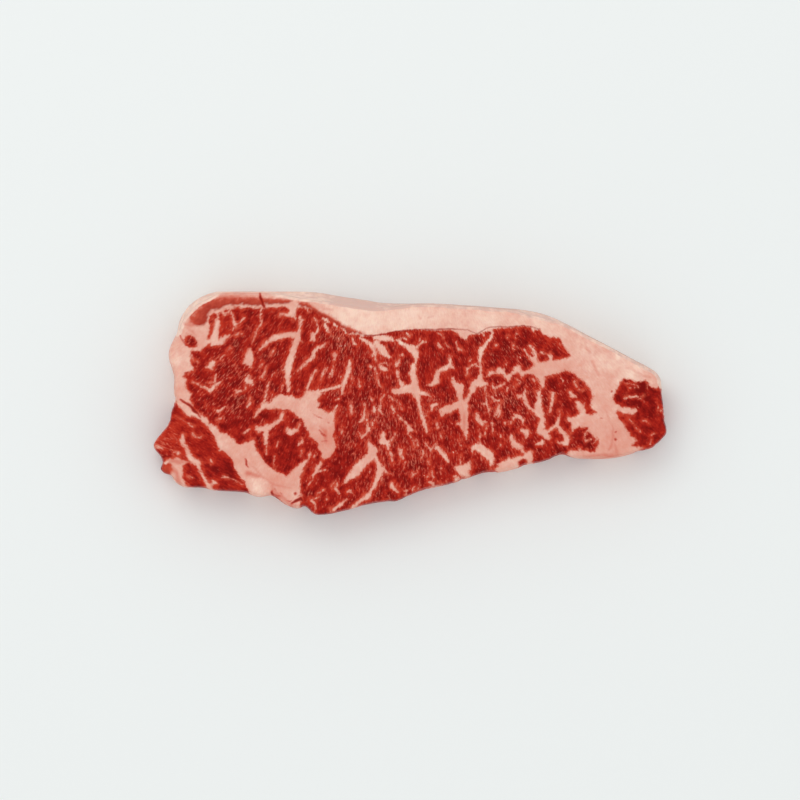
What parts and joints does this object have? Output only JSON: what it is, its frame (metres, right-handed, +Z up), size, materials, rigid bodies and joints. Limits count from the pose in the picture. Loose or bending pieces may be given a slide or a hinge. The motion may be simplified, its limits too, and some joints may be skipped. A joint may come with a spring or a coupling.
{
  "type": "raw sirloin steak",
  "caption": "Thick slice of raw marbled beef sirloin with a fat cap along one long side and a tapering narrow end; it lies flat on its lower cut face.",
  "frame": {"origin": "centre of the bounding box, on the surface that the lower cut face rests on", "axes": "+X along the slice towards its narrow end, +Y towards the fat cap, +Z up out of the upper cut face"},
  "size_m": [0.23, 0.1, 0.0254],
  "materials": {
    "raw_beef": "moist cut face of deep red lean with pale pink fat marbling and a creamy pink fat cap"
  },
  "bodies": {
    "root": {"steak": "raw_beef"}
  },
  "joints": []
}
